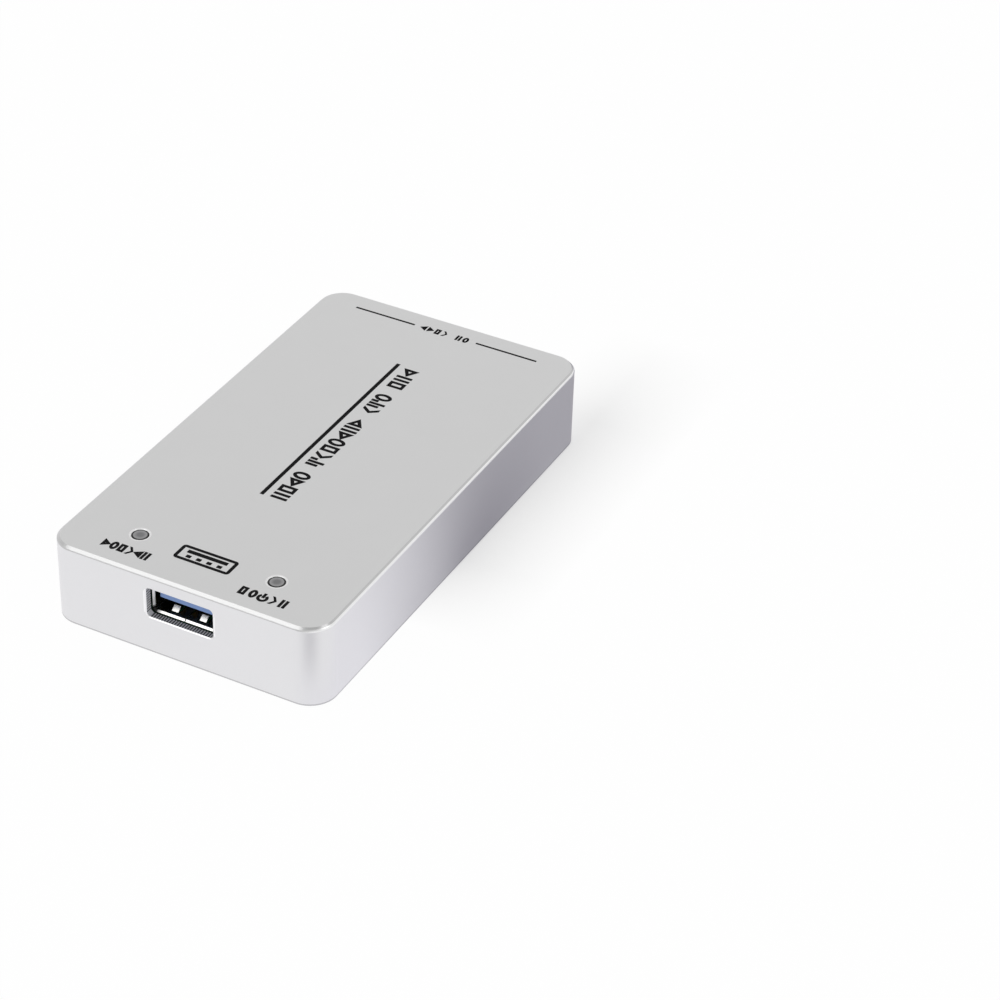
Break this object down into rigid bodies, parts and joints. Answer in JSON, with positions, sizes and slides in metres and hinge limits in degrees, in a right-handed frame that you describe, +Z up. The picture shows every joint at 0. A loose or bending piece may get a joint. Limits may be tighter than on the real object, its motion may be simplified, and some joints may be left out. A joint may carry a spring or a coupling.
{
  "type": "video capture box",
  "caption": "Flat oblong metal box with rounded corners, a type A socket in one end, a video input socket in the other and indicator lenses in the top, with its circuit board inside.",
  "frame": {"origin": "middle of the surface that the box stands on", "axes": "+Z up, +Y along the box from the front end with the type A socket to the rear end, +X across it to the right of someone who faces the front end from outside and looks along +Y"},
  "size_m": [0.056, 0.1, 0.0168],
  "materials": {
    "anodised_aluminium": "satin, clear anodised",
    "base_plate_aluminium": "satin, brushed along the box",
    "blackened_steel": "blackened",
    "foot_rubber": "matte",
    "frosted_lens": "frosted, smoky",
    "insulating_film": "smooth film",
    "board_laminate": "solder mask",
    "lamp_resin": "clear resin on a white base",
    "nickel_sheet": "nickel plated",
    "blue_plastic": "moulded",
    "black_plastic": "moulded",
    "gold_contacts": "gold flashed",
    "gasket_foam": "woven, silvery",
    "chip_moulding": "fine matte moulding",
    "tinned_leads": "tinned",
    "thermal_silicone": "soft, matte",
    "inductor_ferrite": "pressed ferrite",
    "crystal_metal": "plated lid",
    "tantalum_moulding": "moulded",
    "can_aluminium": "bright drawn",
    "line_ceramic": "fired body",
    "fuse_laminate": "laminate",
    "capacitor_ceramic": "fired ceramic"
  },
  "bodies": {
    "root": {"housing_shell": "anodised_aluminium", "base_plate": "base_plate_aluminium", "base_screws": "blackened_steel", "foot_front_left": "foot_rubber", "foot_front_right": "foot_rubber", "foot_rear_left": "foot_rubber", "foot_rear_right": "foot_rubber", "action_light_pipe": "frosted_lens", "power_light_pipe": "frosted_lens", "insulating_sheet": "insulating_film", "main_board": "board_laminate", "action_led": "lamp_resin", "power_led": "lamp_resin", "usb_shell": "nickel_sheet", "hdmi_shell": "nickel_sheet", "usb_insulator": "blue_plastic", "hdmi_insulator": "black_plastic", "bulk_capacitor_base": "black_plastic", "usb_data_contacts": "gold_contacts", "usb_superspeed_contacts": "gold_contacts", "hdmi_upper_contacts": "gold_contacts", "hdmi_lower_contacts": "gold_contacts", "usb_shield_gasket": "gasket_foam", "hdmi_shield_gasket": "gasket_foam", "video_receiver": "chip_moulding", "video_processor": "chip_moulding", "usb_bridge": "chip_moulding", "frame_memory": "chip_moulding", "flash_memory": "chip_moulding", "display_data_memory": "chip_moulding", "voltage_regulators": "chip_moulding", "video_receiver_leads": "tinned_leads", "flash_memory_leads": "tinned_leads", "display_data_memory_leads": "tinned_leads", "voltage_regulator_leads": "tinned_leads", "receiver_thermal_pad": "thermal_silicone", "processor_thermal_pad": "thermal_silicone", "power_inductors": "inductor_ferrite", "receiver_crystal": "crystal_metal", "bridge_crystal": "crystal_metal", "tantalum_capacitors": "tantalum_moulding", "bulk_capacitor_can": "can_aluminium", "surge_arrays": "line_ceramic", "line_filters": "line_ceramic", "resistors": "line_ceramic", "input_fuse": "fuse_laminate", "decoupling_capacitors": "capacitor_ceramic", "underside_capacitors": "capacitor_ceramic"}
  },
  "joints": []
}
